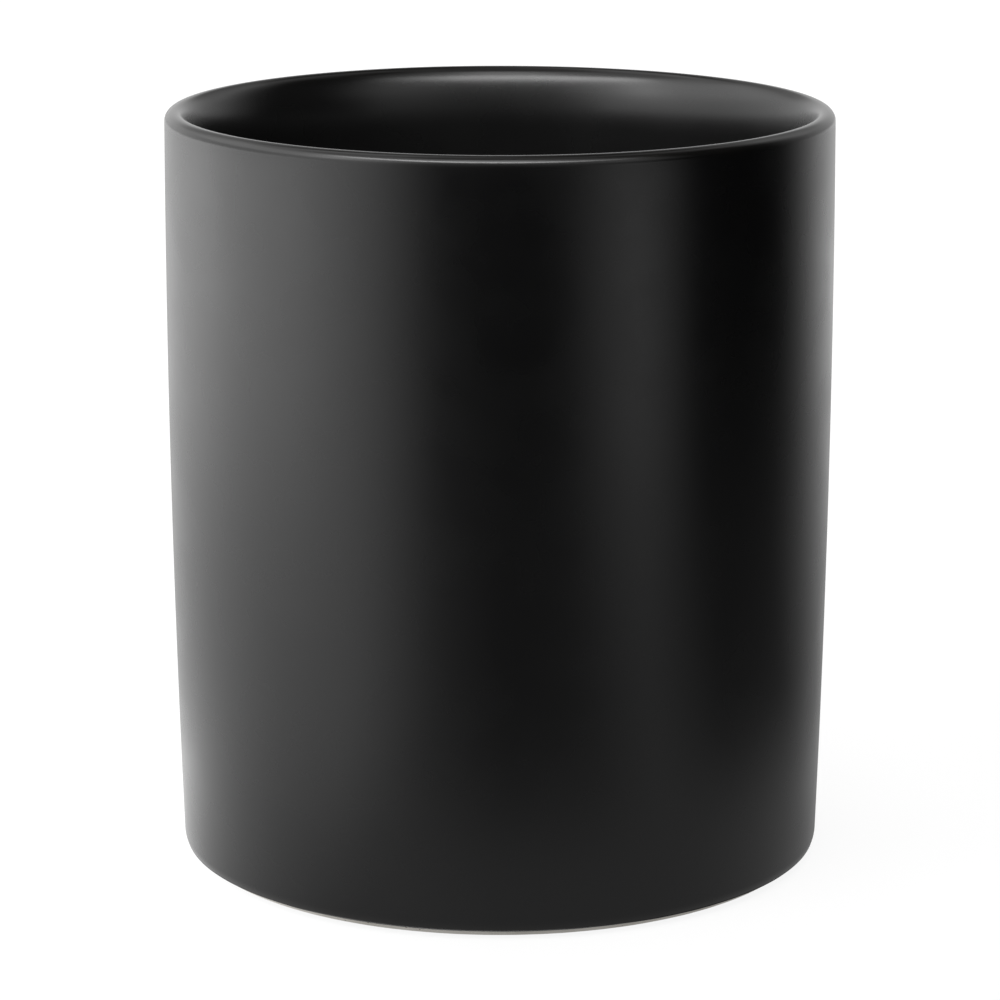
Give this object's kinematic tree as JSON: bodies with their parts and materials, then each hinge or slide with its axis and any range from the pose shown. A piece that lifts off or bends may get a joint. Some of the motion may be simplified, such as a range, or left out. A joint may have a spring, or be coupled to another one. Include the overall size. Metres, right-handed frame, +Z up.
{
  "type": "candle jar",
  "caption": "Empty round pottery candle jar, an open tumbler in satin black glaze with a rounded rim and a bare clay foot ring.",
  "frame": {"origin": "middle of the foot ring, on the plane that the jar stands on", "axes": "+Z up along the jar's axis, towards the open mouth; +X and +Y are any two square directions, because the jar is round"},
  "size_m": [0.0803, 0.0802, 0.0912],
  "materials": {
    "clay": "bare fired clay, fine matt grain",
    "glaze": "satin black glaze"
  },
  "bodies": {
    "root": {"clay_body": "clay", "glaze_coat": "glaze", "base_glaze": "glaze"}
  },
  "joints": []
}
